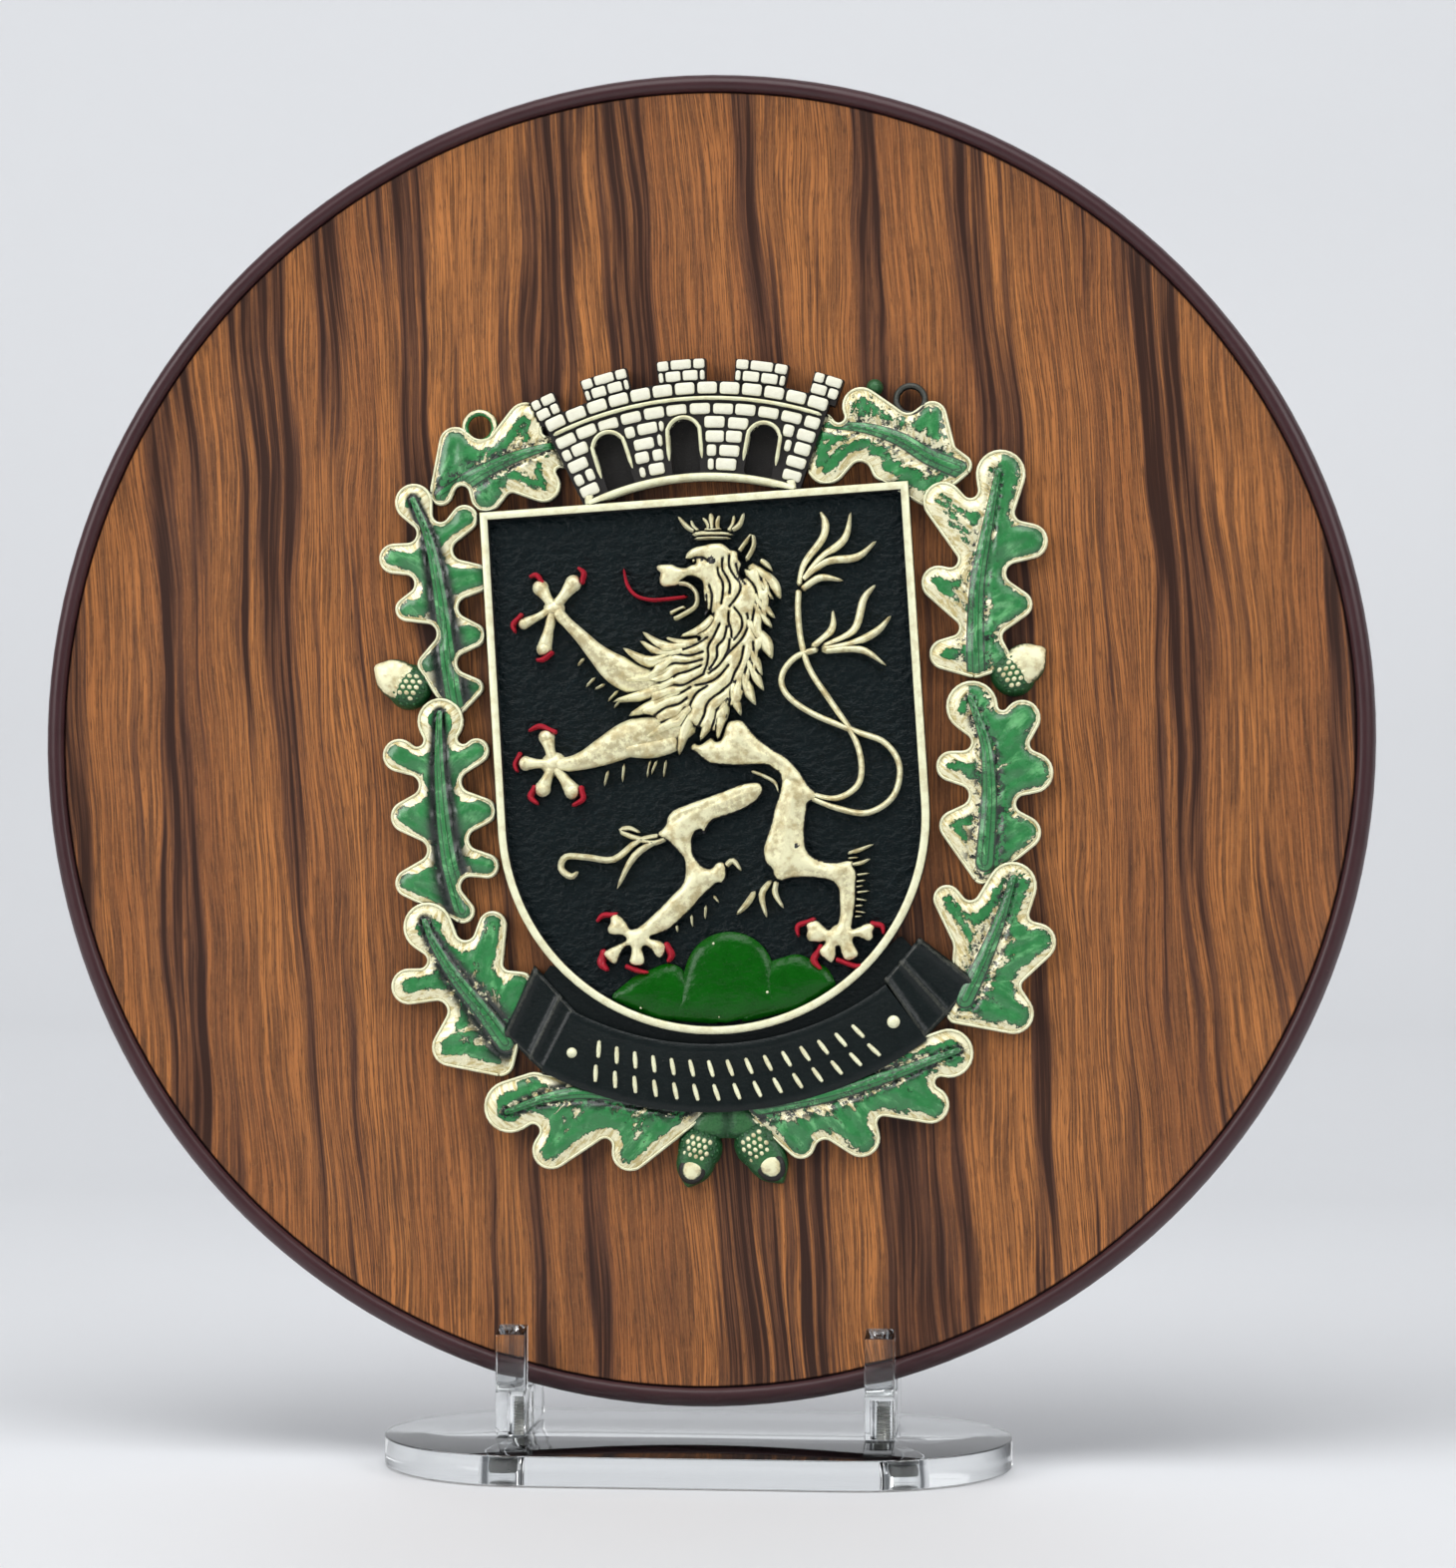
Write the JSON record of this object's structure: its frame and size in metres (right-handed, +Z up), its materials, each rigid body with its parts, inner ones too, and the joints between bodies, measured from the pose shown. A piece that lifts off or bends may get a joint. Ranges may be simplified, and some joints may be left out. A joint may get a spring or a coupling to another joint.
{
  "type": "coat of arms plaque on a stand",
  "caption": "Round wood-grain plaque with a painted cast coat of arms, a crowned lion on a shield in an oak wreath, leaning on a small clear acrylic cradle stand.",
  "frame": {"origin": "centre of the stand's underside", "axes": "+Z up, the plaque faces -Y, +X is the viewer's right"},
  "size_m": [0.2794, 0.066, 0.29],
  "materials": {
    "brown_moulding": "dark brown, satin to gloss",
    "wood_print": "satin wood-grain laminate, grain running up the plaque",
    "painted_casting": "hand painted: green and pale gold wreath, near-black field and ribbon, pale gold lion, cream masonry",
    "clear_acrylic": "clear, polished faces and edges",
    "screw_steel": "plain machine screw"
  },
  "bodies": {
    "root": {"backing_plate": "brown_moulding", "wood_grain_face": "wood_print", "coat_of_arms_casting": "painted_casting", "stand_base": "clear_acrylic", "stand_arm_left": "clear_acrylic", "stand_arm_right": "clear_acrylic", "stand_screw_left": "screw_steel", "stand_screw_right": "screw_steel"}
  },
  "joints": []
}
